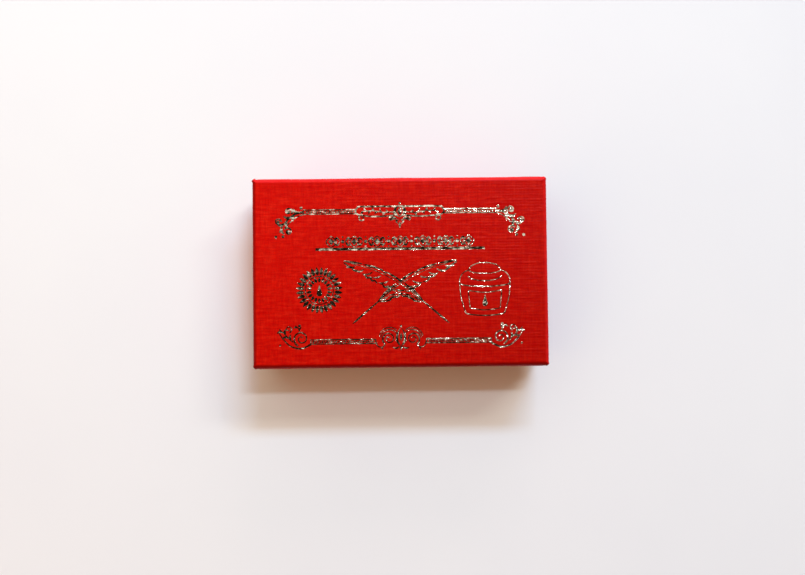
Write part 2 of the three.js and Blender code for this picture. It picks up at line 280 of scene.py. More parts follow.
def back_border():
    """Rails, a framed middle with a swag and a pendant, and drooping sprigs at the ends."""
    y = 21.2

    def half():
        drawn = rail(15.1, 32.8, y)
        drawn += [stroke([(0, 22.9), (12.6, 22.9), (14.4, 22.5), (15.1, y), (14.3, 20.1)], 0.6)]
        drawn += [stroke([(1.6, 19.9), (6, 19.5), (10.5, 19.6), (14.3, 20.1)], 0.5)]
        drawn += sprig([(2, 21), (5.5, 20.8), (9, 21.4), (13, 21.2)], 0.4, 1.3, 1.25)
        drawn += [stroke(spiral_knots(12.9, 18.9, 1.25, 0.35, 0.3, -1.15), 0.4)]
        drawn += [stroke(spiral_knots(3.1, 18.9, 1.0, 0.3, 0.2, 1.1), 0.4)]
        drawn += [stroke([(0.5, 19.4), (1.6, 20.6), (1.5, 22), (0.3, 23.4)], leaf_width(1.0))]
        drawn += [stroke([(1.0, 18.6), (2.4, 18.9), (3.4, 18.0)], leaf_width(0.9))]
        drawn += [stroke([(0.3, 18.4), (1.2, 17.8), (0.5, 16.9)], leaf_width(0.5))]
        stem = [(32.8, y), (35.6, 20.6), (38.2, 18.6), (40.0, 16.4), (41.0, 14.3)]
        drawn += sprig(stem, 0.9, 2.2, 1.6)
        drawn += [stroke([(32.8, y - 0.8), (35.2, 19.5), (37.5, 17.6), (39.3, 15.6)], 0.35)]
        drawn += [stroke(spiral_knots(37.9, 21.4, 1.35, 0.35, 0.6, -1.2), thinning(0.65, 0.4))]
        drawn += [stroke(spiral_knots(38.1, 14.6, 1.4, 0.35, 0.1, 1.2), thinning(0.55, 0.35))]
        drawn += [stroke(spiral_knots(41.5, 17.9, 1.2, 0.3, 0.5, -1.2), thinning(0.5, 0.3))]
        drawn += [dot(33.6, 22.6, 0.5), dot(42.2, 12.8, 0.5), dot(39.8, 12.9, 0.5), dot(37.9, 21.4, 0.6),
                  dot(38.1, 14.6, 0.6), dot(41.5, 17.9, 0.55)]
        return drawn

    middle = [lozenge(0, y, 0.8, 1.3), ring(0, y, 1.75, 0.4), lozenge(0, 16.6, 0.45, 1.1),
              dot(0, 24, 0.45)]
    return both_sides(half) + middle


def front_border():
    """Rails between end scrolls, and two volutes round a small fleuron in the middle."""
    y = -23

    def half():
        drawn = rail(8.6, 30.6, y)
        drawn += [stroke(spiral_knots(4.1, -22.2, 2.3, 0.4, 0.85, 1.6), thinning(0.55, 0.32))]
        drawn += [stroke(arc_knots(3.9, -22.2, 3.0, 3.1, 0.02, 0.42), 0.36)]
        drawn += [stroke(arc_knots(3.9, -22.2, 3.6, 3.9, 0.04, 0.36), 0.32)]
        drawn += [stroke([(5.4, -24), (6.4, -25), (7.9, -24.6), (8.6, y)], 0.38), dot(6.4, -25.5, 0.32)]
        drawn += [stroke([(0.3, -24.6), (1.3, -22.8), (1.2, -20.6), (0.3, -18.6)], leaf_width(0.75))]
        drawn += [stroke([(0.5, -24.8), (1.7, -25.4), (2.9, -25)], leaf_width(0.45))]
        drawn += [stroke(spiral_knots(33.8, -21.9, 2.7, 0.4, 0.82, 1.6), thinning(0.6, 0.35))]
        drawn += [stroke([(30.6, -23.8), (33.8, -25.2), (37.2, -24.5), (39.6, -22.4), (41.4, -19.8)],
                         thinning(0.7, 0.35))]
        drawn += sprig([(36.6, -23), (38.2, -21.6), (39.7, -20), (41.3, -18.6)], 0.4, 1.8, 1.35)
        drawn += sprig([(34.4, -19.4), (34.8, -18.4), (35.8, -17.4)], 0.4, 1.3, 1.1)
        drawn += [stroke(spiral_knots(38.2, -18.6, 1.2, 0.3, 0.7, -1.1), thinning(0.45, 0.3))]
        drawn += [dot(34.4, -17.5, 0.5), dot(41, -24, 0.35)]
        return drawn

    middle = [lozenge(0, -21.6, 0.55, 1.5), dot(0, -17.9, 0.4), lozenge(0, -25.2, 0.4, 0.9)]
    return both_sides(half) + middle


def ornament_row():
    """A running row of lozenges, leaf pairs and beads."""
    y, drawn = 11, []
    for index in range(-6, 7):
        x = index * 3.9
        if index % 2:
            drawn += [dot(x, y, 0.62), dot(x, y + 1.55, 0.3), dot(x, y - 1.55, 0.3)]
        else:
            drawn += [lozenge(x, y, 0.95, 1.25)]
            frame_knots = [(x, y + 1.9), (x + 1.75, y), (x, y - 1.9), (x - 1.75, y), (x, y + 1.9)]
            drawn += [stroke(frame_knots, 0.36)]
        if index < 6:
            for lift in (1, -1):
                knots = [(x + 0.9, y), (x + 1.95, y + 1.25 * lift), (x + 3.0, y)]
                drawn += [stroke(knots, leaf_width(0.62))]
    return drawn


def rule():
    """The line under the ornament row, pointed at both ends."""
    return [stroke([(-28, 8.4), (-24, 8.42), (24, 8.42), (28, 8.4)],
                   lambda t: 0.95 * np.clip(np.minimum(t, 1 - t) * 30, 0.15, 1))]


def quill(side):
    """One feather: a bowed shaft, barbs that lean towards the tip, ragged edges, and a bare cut nib."""
    rng = np.random.default_rng(31 + side)
    tip, nib = np.array([-19.2 * side, 4.3]), np.array([16.4 * side, -17.0])
    shaft = spline([tip, (-8.2 * side, 0.9), (1.5 * side, -4.6), (9.6 * side, -11.2), nib])
    lengths = np.concatenate([[0], np.cumsum(np.hypot(*np.diff(shaft, axis=0).T))])
    total = lengths[-1]

    def at(share):
        s = share * total
        point = np.array([np.interp(s, lengths, shaft[:, k]) for k in (0, 1)])
        ahead = np.array([np.interp(s + 0.4, lengths, shaft[:, k]) for k in (0, 1)]) - point
        along = ahead / max(np.hypot(*ahead), 1e-9)
        return point, along, np.array([-along[1], along[0]])

    vane_end = 0.72

    def reach(share, upper):
        swell = math.sin(math.pi * min(1, share / vane_end) ** 1.15) ** 0.55
        return (1.1 if upper else 3.4) * max(swell, 0.12)

    shaft_width = np.interp(lengths / total, [0, 0.5, 0.93, 0.97, 1], [0.1, 0.14, 0.34, 0.28, 0.08])
    drawn = [(shaft, shaft_width)]
    for lift in (1, -1):
        upper = lift * side > 0
        edge = []
        for share in np.linspace(0.0, vane_end, 30):
            point, along, out = at(share)
            ragged = 1 + (0.08 if upper else 0.16) * rng.uniform(-1, 1)
            edge.append(point + lift * out * reach(share, upper) * ragged)
        breaks = [0, 6, 7, 13, 14, 20, 21, 29]
        drawn += [stroke(edge[a:b + 1], lambda t: 0.34 + 0.34 * np.sin(math.pi * t))
                  for a, b in zip(breaks[::2], breaks[1::2])]
        for share in np.arange(0.1, vane_end, 0.13 if upper else 0.075):
            point, along, out = at(share)
            far, _, far_out = at(max(0.0, share - 0.07))
            length = reach(share, upper) * rng.uniform(0.8, 1.0)
            start = point + lift * out * length * rng.uniform(0.3, 0.55)
            middle = point + lift * out * 0.75 * length - along * 0.9
            drawn.append(stroke([start, middle, far + lift * far_out * length], leaf_width(0.42)))
    return drawn


def quills():
    return quill(1) + quill(-1)


def ink_bottle():
    """A line drawing of a squat bottle: a domed cap, thread arcs, shoulders, and a label with a drop."""
    x, line = 28.7, 0.34
    drawn = [
        stroke(arc_knots(x, 0.9, 5.4, 2.5, 0, 0.5, 16), line),
        stroke(arc_knots(x, 0.9, 5.4, 1.2, 0.5, 1, 16), line),
        stroke(arc_knots(x, -0.9, 5.7, 1.9, 0.52, 0.98, 16), line),
        stroke(arc_knots(x, -3.5, 8.6, 1.25, 0.5, 1, 18), line + 0.08),
        stroke(arc_knots(x, -13.5, 6.7, 1.1, 0.5, 1, 16), line + 0.08),
        drop(x, -9.4, 4.2, 2.0),
    ]
    for side in (1, -1):
        shoulder = [(x + side * dx, y) for dx, y in ((5.4, 0.9), (7.2, 0), (8.4, -1.7), (8.6, -3.5))]
        body = [(x + side * 8.6, -3.5), (x + side * 8.1, -8.5), (x + side * 6.7, -13.5)]
        drawn += [stroke(shoulder, line), stroke(body, line)]
    label = [(x - 5.7, -6.1), (x + 5.7, -6.1), (x + 5.1, -12.1), (x - 5.1, -12.1)]
    for start, end in zip(label, label[1:] + label[:1]):
        sag = 0.65 if start[1] == end[1] else 0
        middle = ((start[0] + end[0]) / 2, (start[1] + end[1]) / 2 - sag)
        drawn.append(stroke([start, middle, end], line))
    return drawn


def emblem():
    """A round rosette of petals about an ink drop."""
    x, y = -27.6, -5.5
    centre = np.array([x, y])
    drawn = [ring(x, y, 4.75, 0.36), drop(x, y, 4.2, 2.1)]
    for count, inner, outer, width in ((28, 5.15, 7.9, 1.15), (18, 2.7, 4.45, 0.85)):
        for index in range(count):
            angle = (index + 0.5) / count * TAU
            direction = np.array([math.cos(angle), math.sin(angle)])
            petal = [centre + direction * inner, centre + direction * outer]
            drawn.append(stroke(petal, leaf_width(width)))
    return drawn


MOTIFS = {
    "foil_border_back": back_border,
    "foil_border_front": front_border,
    "foil_ornament_row": ornament_row,
    "foil_rule": rule,
    "foil_quills": quills,
    "foil_ink_bottle": ink_bottle,
    "foil_emblem": emblem,
}


def stamped_area(strokes):
    """How much each spot of the lid top is pressed, 0 to 1, as a function of x and y in metres.

    The strokes press a margin round themselves, which ends softly.
    """
    half_x, half_y = STAMPED_AREA
    cell = PRESS_CELL
    columns, rows = int(2 * half_x / cell), int(2 * half_y / cell)
    pressed = np.zeros((columns, rows), np.float32)
    for points, half in strokes:
        for (px, py), radius in zip(points, half):
            reach = radius + PRESS_MARGIN + PRESS_SOFT
            i0, i1 = int((px - reach + half_x) / cell), int((px + reach + half_x) / cell) + 1
            j0, j1 = int((py - reach + half_y) / cell), int((py + reach + half_y) / cell) + 1
            gx = (np.arange(i0, i1) * cell - half_x - px)[:, None]
            gy = (np.arange(j0, j1) * cell - half_y - py)[None, :]
            depth = np.clip((reach - np.hypot(gx, gy)) / PRESS_SOFT, 0, 1)
            window = pressed[i0:i1, j0:j1]
            np.maximum(window, depth, out=window)

    def look_up(x, y):
        i = np.clip((x / MM + half_x) / cell + 0.5, 0, columns - 1).astype(int)
        j = np.clip((y / MM + half_y) / cell + 0.5, 0, rows - 1).astype(int)
        return pressed[i, j]

    return look_up


# ------------------------------------------------------------------ mesh making

def new_object(name, coords, faces, material, smooth=True, sharp_above=None):
    mesh = bpy.data.meshes.new(name)
    mesh.from_pydata(coords.tolist(), [], faces)
    mesh.update()
    if smooth:
        mesh.shade_smooth()
    if sharp_above:
        mesh.set_sharp_from_angle(angle=math.radians(sharp_above))
    mesh.materials.append(material)
    obj = bpy.data.objects.new(name, mesh)
    bpy.context.scene.collection.objects.link(obj)
    return obj


def store_sheet(obj, sheet):
    """Keeps each point's place on the flat sheet, which the weave in the materials follows."""
    attribute = obj.data.attributes.new("sheet", "FLOAT_VECTOR", "POINT")
    attribute.data.foreach_set("vector", sheet.astype(np.float32).ravel())


def strip_faces(first, length, lanes):
    """The faces of one closed strip, whose upper points start at first and whose lower ones follow."""
    width = lanes + 1
    under = width * length
    faces = []

    def corner(i, j):
        return first + i * width + j

    def wall(a, b, order):
        faces.append((a, a + under, b + under, b)[::order])

    for i in range(length - 1):
        for j in range(lanes):
            a, b = corner(i, j), corner(i, j + 1)
            c, d = corner(i + 1, j + 1), corner(i + 1, j)
            faces.append((a, d, c, b))
            faces.append((a + under, b + under, c + under, d + under))
        for j, order in ((0, 1), (lanes, -1)):
            wall(corner(i, j), corner(i + 1, j), order)
    for i, order in ((0, -1), (length - 1, 1)):
        for j in range(lanes):
            wall(corner(i, j), corner(i, j + 1), order)
    return faces


def strokes_object(name, strokes, height_of, thickness, material):
    """Strokes as thin closed strips that follow the surface whose height is height_of."""
    coords, faces = [], []
    count = 0
    for points, half in strokes:
        ahead = np.gradient(points, axis=0)
        ahead /= np.maximum(np.hypot(*ahead.T), 1e-9)[:, None]
        out = np.column_stack([-ahead[:, 1], ahead[:, 0]])
        rough = 1 + FOIL_RAGGED * value_noise(points[:, 0], points[:, 1], 0.4, 0.4, 77)
        lanes = max(2, int(math.ceil(2 * half.max() / FOIL_STEP)))
        across = np.linspace(-1, 1, lanes + 1)
        reach = (half * rough)[:, None, None] * across[None, :, None]
        flat = points[:, None, :] + out[:, None, :] * reach
        x, y = flat[..., 0] * MM, flat[..., 1] * MM
        top = height_of(x, y)
        for level in (top, top - thickness):
            coords.append(np.stack([x, y, level], axis=-1).reshape(-1, 3))
        faces += strip_faces(count, len(points), lanes)
        count += 2 * x.size
    coords = np.vstack(coords)
    obj = new_object(name, coords, faces, material, sharp_above=45)
    store_sheet(obj, coords)
    return obj


def perimeter(nx, ny):
    """The wrap's outline as grid indices, core directions and outward normals, anticlockwise."""
    grid, core, normal = [], [], []
    sides = [
        ([(nx, j) for j in range(ny + 1)], (1, 0)),
        ([(i, ny) for i in range(nx, -1, -1)], (0, 1)),
        ([(0, j) for j in range(ny, -1, -1)], (-1, 0)),
        ([(i, 0) for i in range(nx + 1)], (0, -1)),
    ]
    for index, (cells, facing) in enumerate(sides):
        for i, j in cells[1:-1]:
            grid.append(j * (nx + 1) + i)
            core.append((2 * i / nx - 1, 2 * j / ny - 1))
            normal.append(facing)
        i, j = cells[-1]
        for step in range(ARC_STEPS + 1):
            angle = (index + step / ARC_STEPS) * TAU / 4
            grid.append(j * (nx + 1) + i)
            core.append((2 * i / nx - 1, 2 * j / ny - 1))
            normal.append((math.cos(angle), math.sin(angle)))
    return np.array(grid), np.array(core, float), np.array(normal, float)


def wrap_section(depth):
    """Rows round the wrap's section, from the flat face outwards.

    Each is an inset, a depth, the outward and upward normal, a corner radius, and the emboss's share.
    """
    rows = []

    def row(inset, down, out, up, corner, embossed=1.0):
        rows.append((inset, down, out, up, corner, embossed))

    for step in range(1, EDGE_STEPS + 1):
        angle = step / EDGE_STEPS * TAU / 4
        row(EDGE_RADIUS * (1 - math.sin(angle)), EDGE_RADIUS * (1 - math.cos(angle)),
            math.sin(angle), math.cos(angle), CORNER_RADIUS * math.sin(angle))
    walls = max(2, round((depth - EDGE_RADIUS - RIM_RADIUS) / STEP_WALL))
    for down in np.linspace(EDGE_RADIUS, depth - RIM_RADIUS, walls + 1)[1:]:
        row(0, down, 1, 0, CORNER_RADIUS)
    for step in range(1, RIM_STEPS + 1):
        angle = step / RIM_STEPS * TAU / 4
        row(RIM_RADIUS * (1 - math.cos(angle)), depth - RIM_RADIUS * (1 - math.sin(angle)),
            math.cos(angle), -math.sin(angle), CORNER_RADIUS, RIM_EMBOSS)
    inner = max(CORNER_RADIUS - WALL, SHARPEST_CORNER)
    for step in range(RIM_STEPS + 1):
        angle = step / RIM_STEPS * TAU / 4
        row(WALL - RIM_RADIUS * (1 - math.sin(angle)), depth - RIM_RADIUS * (1 - math.cos(angle)),
            -math.sin(angle), -math.cos(angle), inner, RIM_EMBOSS)
    turns = max(2, round((TURN_IN - RIM_RADIUS) / STEP_TURN_IN))
    for down in np.linspace(depth - RIM_RADIUS, depth - TURN_IN, turns + 1)[1:]:
        row(WALL, down, -1, 0, inner, RIM_EMBOSS)
    row(WALL - PAPER, depth - TURN_IN, 0, 1, inner, 0)
    row(WALL - PAPER, depth - PAPER, 1, 0, inner, 0)
    row(PAPER, depth - PAPER, -1, 0, CORNER_RADIUS - PAPER, 0)
    row(PAPER, EDGE_RADIUS, -1, 0, CORNER_RADIUS - PAPER, 0)
    row(EDGE_RADIUS / 2, PAPER + EDGE_RADIUS / 6, -1, -1, 0.3 * CORNER_RADIUS, 0)
    row(EDGE_RADIUS, PAPER, 0, -1, SHARPEST_CORNER, 0)
    return np.array(rows)


def corner_folds(core, normal, half_x, down, ears, bulge):
    """How far the folded paper stands out at a depth.

    The long walls bulge, their outer fold covers a tab at each end, and the corners are full. ears
    holds each corner's greatest height: back right, back left, front right, front left.
    """
    on_long_wall = np.abs(normal[:, 1]) > 0.8
    from_end = (1 - np.abs(core[:, 0])) * half_x
    below_edge = np.clip((down - EDGE_RADIUS) / FOLD_FADE, 0, 1)
    flap = FLAP_THICK * (from_end > FLAP_END) * on_long_wall
    tab = TAB_THICK * np.clip((TAB_LENGTH - from_end) / TAB_FADE, 0, 1) * on_long_wall
    corner_index = (core[:, 0] < 0).astype(int) + 2 * (core[:, 1] < 0).astype(int)
    near_corner = np.abs(normal).min(axis=1) > 0.05
    fullness = math.exp(-((down - EAR_DEPTH) / EAR_SPREAD) ** 2)
    swell = np.array(ears)[corner_index] * near_corner * fullness
    return (flap + tab + bulge * np.abs(normal[:, 1])) * below_edge + swell


def wrap_skin(name, high, depth, height_of, relief_of, ears, bulge, material):
    """The covering paper of one tray as a single closed sheet, embossed all over its outer face."""
    half_x, half_y = high.x, high.y
    top_x, top_y = half_x - EDGE_RADIUS, half_y - EDGE_RADIUS
    nx, ny = round(2 * top_x / STEP_TOP), round(2 * top_y / STEP_TOP)
    gx, gy = np.meshgrid(np.linspace(-top_x, top_x, nx + 1), np.linspace(-top_y, top_y, ny + 1))
    gx, gy = gx.ravel(), gy.ravel()
    edge_fade = np.clip(np.minimum(top_x - np.abs(gx), top_y - np.abs(gy)) / PILLOW_FADE, 0, 1)
    coords = [np.column_stack([gx, gy, height_of(-relief_of(gx, gy, edge_fade))])]
    sheet = [np.column_stack([gx, gy, 0 * gx])]
    i, j = np.meshgrid(np.arange(nx), np.arange(ny))
    corner = (j * (nx + 1) + i).ravel()
    faces = np.column_stack([corner, corner + 1, corner + nx + 2, corner + nx + 1]).tolist()

    grid, core, normal = perimeter(nx, ny)
    on_x_side = np.abs(normal[:, 0]) > np.abs(normal[:, 1])
    section = wrap_section(depth)
    travelled, last = 0.0, np.array([EDGE_RADIUS, 0.0])
    previous, first = grid, len(gx)
    count = len(grid)
    for inset, down, out, up, radius, embossed in section:
        travelled += math.hypot(inset - last[0], down - last[1])
        last = np.array([inset, down])
        x = core[:, 0] * (half_x - inset - radius) + radius * normal[:, 0]
        y = core[:, 1] * (half_y - inset - radius) + radius * normal[:, 1]
        u = np.where(on_x_side, np.sign(core[:, 0]) * (top_x + travelled), core[:, 0] * top_x)
        v = np.where(on_x_side, core[:, 1] * top_y, np.sign(core[:, 1]) * (top_y + travelled))
        lift = embossed * linen(u, v)
        push = lift * out
        if embossed == 1.0:
            bow = WALL_BOW * value_noise(u, v, 33 * MM, 9 * MM, 41) * min(1, down / (4 * MM))
            push = push + out * (bow + corner_folds(core, normal, half_x, down, ears, bulge))
        coords.append(np.column_stack([x + normal[:, 0] * push, y + normal[:, 1] * push,
                                       height_of(down - up * lift)]))
        sheet.append(np.column_stack([u, v, np.full(count, travelled)]))
        current = first + np.arange(count)
        for k in range(count):
            n = (k + 1) % count
            face = [previous[k], current[k], current[n], previous[n]]
            faces.append(list(dict.fromkeys(int(index) for index in face)))
        previous, first = current, first + count
    faces.append([int(index) for index in previous])
    if height_of(1) > height_of(0):
        faces = [face[::-1] for face in faces]
    coords = np.vstack(coords)
    obj = new_object(name, coords, faces, material)
    store_sheet(obj, np.vstack(sheet))
    return obj


# ------------------------------------------------------------------ materials

class Nodes:
    """Short ways to add shader nodes to a tree."""

    def __init__(self, tree):
        self.tree = tree

    def add(self, kind, **settings):
        node = self.tree.nodes.new(kind)
        for key, value in settings.items():
            setattr(node, key, value)
        return node

    def plug(self, value, socket):
        """Links another node's output to the socket, or sets it to a plain value."""
        if hasattr(value, "is_linked"):
            self.tree.links.new(value, socket)
        else:
            socket.default_value = value

    def split(self, vector):
        node = self.add("ShaderNodeSeparateXYZ")
        self.plug(vector, node.inputs["Vector"])
        return node.outputs

    def math(self, operation, *values):
        node = self.add("ShaderNodeMath", operation=operation)
        for value, socket in zip(values, node.inputs):
            self.plug(value, socket)
        return node.outputs[0]

    def range(self, value, low, high, from_low=0.3, from_high=0.7, steps="LINEAR"):
        """The value spread from one range to another, by default from where noise mostly lies."""
        node = self.add("ShaderNodeMapRange", interpolation_type=steps)
        self.plug(value, node.inputs["Value"])
        node.inputs["From Min"].default_value = from_low
        node.inputs["From Max"].default_value = from_high
        node.inputs["To Min"].default_value = low
        node.inputs["To Max"].default_value = high
        return node.outputs["Result"]

    def ramp(self, value, stops):
        node = self.add("ShaderNodeValToRGB")
        elements = node.color_ramp.elements
        while len(elements) < len(stops):
            elements.new(0.5)
        for element, (position, colour) in zip(elements, stops):
            element.position = position
            element.color = (*colour, 1)
        self.plug(value, node.inputs["Fac"])
        return node.outputs["Color"]

    def mix(self, factor, output, colour):
        """Goes from the output to the plain colour as the factor goes from 0 to 1."""
        node = self.add("ShaderNodeMix", data_type="RGBA")
        sockets = {socket.name: socket for socket in node.inputs if socket.enabled}
        self.plug(factor, sockets["Factor"])
        self.plug(output, sockets["A"])
        self.plug((*colour, 1), sockets["B"])
        return next(socket for socket in node.outputs if socket.enabled)


class Surface(Nodes):
    """A material under construction: a Principled shader and the nodes that feed it."""

    def __init__(self, name, **sockets):
        self.material = bpy.data.materials.new(name)
        self.material.use_nodes = True
        super().__init__(self.material.node_tree)
        self.shader = self.tree.nodes["Principled BSDF"]
        for socket, value in sockets.items():
            self.shader.inputs[socket.replace("_", " ")].default_value = value

    def sheet(self, scale=(1, 1, 1)):
        """The point's place on the flat sheet, scaled so that noise on it has scale cells a metre."""
        source = self.add("ShaderNodeAttribute", attribute_name="sheet")
        return self.scaled(source.outputs["Vector"], scale)

    def place(self, scale):
        """The point's place in the part, scaled in the same way."""
        source = self.add("ShaderNodeTexCoord")
        return self.scaled(source.outputs["Object"], scale)

    def scaled(self, vector, scale):
        mapping = self.add("ShaderNodeMapping")
        mapping.inputs["Scale"].default_value = scale
        self.plug(vector, mapping.inputs["Vector"])
        return mapping.outputs["Vector"]

    def noise(self, vector, detail, roughness=0.55, distortion=0.0):
        node = self.add("ShaderNodeTexNoise")
        node.inputs["Scale"].default_value = 1.0
        node.inputs["Detail"].default_value = detail
        node.inputs["Roughness"].default_value = roughness
        node.inputs["Distortion"].default_value = distortion
        self.plug(vector, node.inputs["Vector"])
        return node.outputs["Fac"]

    def shade(self, colour, factor):
        """The colour times a number."""
        node = self.add("ShaderNodeVectorMath", operation="SCALE")
        self.plug(colour, node.inputs[0])
        self.plug(factor, node.inputs["Scale"])
        return node.outputs["Vector"]

    def bump(self, height, distance, strength):
        node = self.add("ShaderNodeBump")
        node.inputs["Distance"].default_value = distance
        node.inputs["Strength"].default_value = strength
        self.plug(height, node.inputs["Height"])
        self.plug(node.outputs["Normal"], self.shader.inputs["Normal"])

    def colour(self, output):
        self.plug(output, self.shader.inputs["Base Color"])

    def roughness(self, output):
        self.plug(output, self.shader.inputs["Roughness"])


def blend(surface, along, along_share, up, up_share):
    """Two noises added in the given shares."""
    return surface.math("ADD", surface.math("MULTIPLY", along, along_share),
                        surface.math("MULTIPLY", up, up_share))


def fine_weave(surface):
    """The finer threads between the embossed ones, in both directions of the sheet."""
    fine, coarse = 1 / FINE_THREAD, 0.12 / FINE_THREAD
    along = surface.noise(surface.sheet((coarse, fine, 1)), 2.0)
    up = surface.noise(surface.sheet((fine, coarse, 1)), 2.0)
    return blend(surface, along, 0.6, up, 0.4)


DEEP_RED = (0.50, 0.0010, 0.0004)
RED = (0.57, 0.0040, 0.0008)
BRIGHT_RED = (0.65, 0.0108, 0.0030)
CLOUDY_RED = (0.49, 0.0030, 0.0007)
# Painted highlight colour for the back and right top edges.
HIGHLIGHT_RED = (1.0, 0.028, 0.032)
# Painted shade colour for the front and left top edges.
SHADED_RED = (0.13, 0.0006, 0.0003)
# Painted reflection: the dark of the dim room seen in the foil.
DARK_REFLECTION = (0.030, 0.023, 0.015)
DULL_SILVER = (0.33, 0.28, 0.21)
SILVER = (1.0, 0.94, 0.83)
NONE, FULL = (0, 0, 0), (1, 1, 1)

EDGE_LIGHT_LENGTH = 5 * MM          # the way over the edge and down the wall that the ramp of painted edge highlight and shade covers
SIDE_START = 0.15 * MM        # past the flat top, over which the painted highlight and shade of a side come in
PAINTED_LIGHT_REACH = 72.2 * MM        # the difference between x and y at which the painted light gradient is full


def linen_wrap_material():
    """Red thread tones, with painted light and shade: lighter at the back left, a painted highlight on
    the back and right top edges, and painted shade on the front and left ones.
    """
    s = Surface("linen_wrap", Roughness=0.3, Specular_IOR_Level=0.038)
    weave = fine_weave(s)
    along, up = s.noise(s.sheet((190, 1080, 1)), 2.0), s.noise(s.sheet((1080, 190, 1)), 2.0)
    streaks = blend(s, along, 0.62, up, 0.38)
    thread_tone = s.ramp(streaks, [(0.36, DEEP_RED), (0.50, RED), (0.64, BRIGHT_RED)])
    # Painted light and shade: the fine threads' tops are made lighter and the hollows between them
    # darker, following the bump below.
    thread_tone = s.shade(thread_tone, s.range(weave, 0.82, 1.17, 0.38, 0.68))
    cloud = s.noise(s.sheet((55, 55, 1)), 4.0)
    tone = s.mix(s.range(cloud, 0.0, 0.35), thread_tone, CLOUDY_RED)
    x, y, down = s.split(s.sheet((1, 1, 1 / EDGE_LIGHT_LENGTH)))
    # Painted light: the red grows lighter towards the back left and darker towards the front right.
    tone = s.shade(tone, s.range(s.math("SUBTRACT", x, y), 1.07, 0.73, -PAINTED_LIGHT_REACH, PAINTED_LIGHT_REACH))

    edge_stops = [(0.0, NONE), (0.7 * MM, FULL), (2.0 * MM, FULL), (2.9 * MM, NONE)]
    along_edge = s.ramp(down, [(depth / EDGE_LIGHT_LENGTH, share) for depth, share in edge_stops])
    # Painted highlight: the back top edge, and more faintly the right one, are made lighter and pinker,
    # as if they caught the window.
    back = s.range(y, 0.0, 1.0, TOP_Y, TOP_Y + SIDE_START)
    right = s.range(x, 0.0, 0.35, TOP_X, TOP_X + SIDE_START)
    painted_highlight = s.math("MULTIPLY", along_edge, s.range(s.noise(s.sheet((260, 260, 260)), 3.0), 0.45, 0.85))
    tone = s.mix(s.math("MULTIPLY", painted_highlight, s.math("ADD", back, right)), tone, HIGHLIGHT_RED)
    # Painted shade: the front top edge, and a little less the left one, are darkened, as they face away
    # from the light.
    front = s.range(y, 0.72, 0.0, -TOP_Y - SIDE_START, -TOP_Y)
    left = s.range(x, 0.6, 0.0, -TOP_X - SIDE_START, -TOP_X)
    painted_shade = s.math("MULTIPLY", along_edge, s.math("ADD", front, left))
    s.colour(s.mix(painted_shade, tone, SHADED_RED))
    s.roughness(s.range(weave, 0.38, 0.24, 0.4, 0.65))
    s.bump(weave, 0.03 * MM, 0.7)
    return s.material


def foil_material():
    """Silver with painted reflection in it, lighter towards the back right. The cloth shows through it
    more at the front.
    """
    s = Surface("silver_foil", Metallic=1.0, Roughness=0.14)
    weave = fine_weave(s)
    x, y, _ = s.split(s.sheet())
    # Painted reflection: the foil is darker and lighter in patches and lighter towards the back right, as
    # if it showed the dim room and the window.
    towards_window = s.math("MULTIPLY_ADD", y, 1.8, s.math("MULTIPLY_ADD", x, 1.2, -0.060))
    reflection_tone = s.math("ADD", s.noise(s.sheet((560, 820, 1)), 2.0), towards_window)
    s.colour(s.ramp(reflection_tone, [(0.37, DARK_REFLECTION), (0.48, DULL_SILVER), (0.57, SILVER)]))
    s.roughness(s.range(weave, 0.15, 0.07, 0.4, 0.65))
    pressed_through = s.range(y, 3.0, 1.0, -23 * MM, 11 * MM)
    s.bump(s.math("MULTIPLY", weave, pressed_through), 0.06 * MM, 1.0)
    return s.material


def greyboard_material():
    s = Surface("greyboard", Roughness=0.9, Specular_IOR_Level=0.2)
    fibre = s.noise(s.place((900, 900, 5200)), 5.0, 0.7)
    fleck = s.noise(s.place((2600, 2600, 2600)), 1.0)
    base = s.ramp(fibre, [(0.35, (0.20, 0.185, 0.165)), (0.65, (0.37, 0.35, 0.315))])
    s.colour(s.mix(s.range(fleck, 0.0, 0.6, 0.62, 0.7), base, (0.09, 0.08, 0.075)))
    s.bump(fibre, 0.05 * MM, 0.7)
    return s.material


def liner_material():
    s = Surface("liner_paper", Roughness=0.8, Specular_IOR_Level=0.25)
    fibre = s.noise(s.place((1500, 700, 1500)), 5.0, 0.65, 0.6)
    s.colour(s.ramp(fibre, [(0.35, (0.76, 0.735, 0.68)), (0.65, (0.88, 0.865, 0.82))]))
    s.bump(fibre, 0.02 * MM, 0.6)
    return s.material


def stay_material():
    s = Surface("stay_tape", Roughness=0.75, Specular_IOR_Level=0.3)
    fibre = s.noise(s.place((600, 600, 4200)), 4.0, 0.65)
    s.colour(s.ramp(fibre, [(0.35, (0.36, 0.23, 0.115)), (0.65, (0.56, 0.40, 0.23))]))
    s.bump(fibre, 0.02 * MM, 0.6)
    return s.material


def card_material():
    s = Surface("card_stock", Roughness=0.85, Specular_IOR_Level=0.2)
    tooth = s.noise(s.place((1900, 1900, 1900)), 4.0, 0.6)
    s.colour(s.ramp(tooth, [(0.35, (0.82, 0.795, 0.735)), (0.65, (0.91, 0.895, 0.85))]))
    s.bump(tooth, 0.04 * MM, 0.8)
    return s.material


def ink_material():
    s = Surface("print_ink", Roughness=0.6, Specular_IOR_Level=0.3)
    speckle = s.noise(s.place((2400, 2400, 2400)), 3.0)
    s.colour(s.ramp(speckle, [(0.35, (0.06, 0.06, 0.075)), (0.7, (0.13, 0.13, 0.15))]))
    return s.material


def floor_material():
    s = Surface("table", Roughness=0.6, Specular_IOR_Level=0.2)
    grain = s.noise(s.place((9, 9, 9)), 3.0)
    s.colour(s.ramp(grain, [(0.3, (0.815, 0.815, 0.82)), (0.7, (0.84, 0.84, 0.835))]))
    return s.material


# ------------------------------------------------------------------ camera, lights and floor

